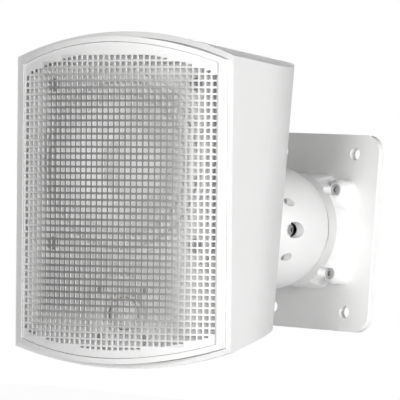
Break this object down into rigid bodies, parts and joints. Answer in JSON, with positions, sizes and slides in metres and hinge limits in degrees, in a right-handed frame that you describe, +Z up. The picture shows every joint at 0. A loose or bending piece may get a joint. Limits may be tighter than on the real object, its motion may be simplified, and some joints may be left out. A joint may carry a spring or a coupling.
{
  "type": "satellite speaker",
  "caption": "Wall-mounted two-way satellite speaker: bowed square-mesh grille in an arched wedge cabinet, on a ball-joint bracket with a fluted seat and a square-cornered wall plate.",
  "frame": {"origin": "centre of the wall plate's back face, on the wall", "axes": "+Z up, the wall is the plane y = 0, the room is on the -Y side, +X is to the right for someone who faces the wall"},
  "size_m": [0.1686, 0.2661, 0.1899],
  "materials": {
    "white_paint": "satin powder coat",
    "grille_paint": "satin powder coat",
    "cabinet_plastic": "fine satin grain",
    "screw_steel": "bright zinc",
    "dark_steel": "matt black",
    "magnet_steel": "zinc plated",
    "ferrite": "matt",
    "edge_rubber": "satin",
    "cone_paper": "matt fibre",
    "spider_cloth": "resin-stiffened cloth",
    "dome_cloth": "coated cloth",
    "coil_copper": "enamelled wire",
    "black_plastic": "fine grain",
    "lever_red": "gloss",
    "lever_black": "gloss",
    "contact_brass": "bright",
    "board_laminate": "satin",
    "capacitor_film": "gloss",
    "resistor_ceramic": "matt"
  },
  "bodies": {
    "wall_bracket": {"wall_plate": "white_paint", "ball_seat": "white_paint", "seat_screws": "screw_steel", "clamp_bolt": "screw_steel", "bolt_washer": "screw_steel"},
    "inner_dome": {"pressure_dome": "magnet_steel"},
    "ball": {"ball_half_right": "white_paint", "ball_half_left": "white_paint", "ball_joining_screws": "screw_steel", "neck_lock_screw": "screw_steel"},
    "woofer_diaphragm": {"woofer_cone": "cone_paper", "woofer_dust_cap": "cone_paper", "woofer_voice_coil": "coil_copper"},
    "tweeter_diaphragm": {"tweeter_dome": "dome_cloth", "tweeter_voice_coil": "coil_copper"},
    "lever_right": {"terminal_lever_right": "lever_red"},
    "lever_left": {"terminal_lever_left": "lever_black"},
    "speaker": {"cabinet_neck": "white_paint", "neck_flange_screws": "screw_steel", "rear_cabinet": "cabinet_plastic", "front_baffle": "cabinet_plastic", "grille": "grille_paint", "baffle_screws": "dark_steel", "woofer_basket": "dark_steel", "woofer_gasket": "dark_steel", "woofer_surround": "edge_rubber", "woofer_spider": "spider_cloth", "woofer_top_plate": "magnet_steel", "woofer_magnet": "ferrite", "woofer_pole_plate": "magnet_steel", "woofer_screws": "screw_steel", "tweeter_face_plate": "cabinet_plastic", "tweeter_surround": "edge_rubber", "tweeter_top_plate": "magnet_steel", "tweeter_magnet": "magnet_steel", "tweeter_motor_cup": "magnet_steel", "tweeter_screws": "screw_steel", "terminal_cup": "black_plastic", "contact_clips": "contact_brass", "terminal_screws": "dark_steel", "crossover_board": "board_laminate", "crossover_coil": "coil_copper", "crossover_capacitors": "capacitor_film", "crossover_resistor": "resistor_ceramic"}
  },
  "joints": [
    {"name": "pan", "type": "hinge", "parent": "wall_bracket", "child": "inner_dome", "pos_m": [0, -0.051, 0], "axis": [0, 0, 1], "range_deg": [-40, 8]},
    {"name": "tilt", "type": "hinge", "parent": "inner_dome", "child": "ball", "pos_m": [0, -0.051, 0], "axis": [0.9613, 0.2756, 0], "range_deg": [-21, 15]},
    {"name": "twist", "type": "hinge", "parent": "ball", "child": "speaker", "pos_m": [0, -0.051, 0], "axis": [0.2753, -0.9599, -0.0523], "range_deg": [-45, 45]},
    {"name": "woofer_stroke", "type": "slide", "parent": "speaker", "child": "woofer_diaphragm", "axis": [-0.2753, 0.9599, 0.0523], "range_m": [-0.003, 0.003], "stiffness_N_per_m": 1500, "deforming": ["woofer_surround", "woofer_spider"]},
    {"name": "tweeter_stroke", "type": "slide", "parent": "speaker", "child": "tweeter_diaphragm", "axis": [-0.2753, 0.9599, 0.0523], "range_m": [-0.0003, 0.0003], "stiffness_N_per_m": 2000, "deforming": ["tweeter_surround"]},
    {"name": "lever_right_lift", "type": "hinge", "parent": "speaker", "child": "lever_right", "pos_m": [0.02253, -0.10842, 0.06973], "axis": [0.961, 0.2732, 0.0436], "range_deg": [0, 35], "stiffness_Nm_per_rad": 0.02, "springref_deg": -17.19},
    {"name": "lever_left_lift", "type": "hinge", "parent": "speaker", "child": "lever_left", "pos_m": [0.00523, -0.11333, 0.06895], "axis": [0.961, 0.2732, 0.0436], "range_deg": [0, 35], "stiffness_Nm_per_rad": 0.02, "springref_deg": -17.19}
  ]
}
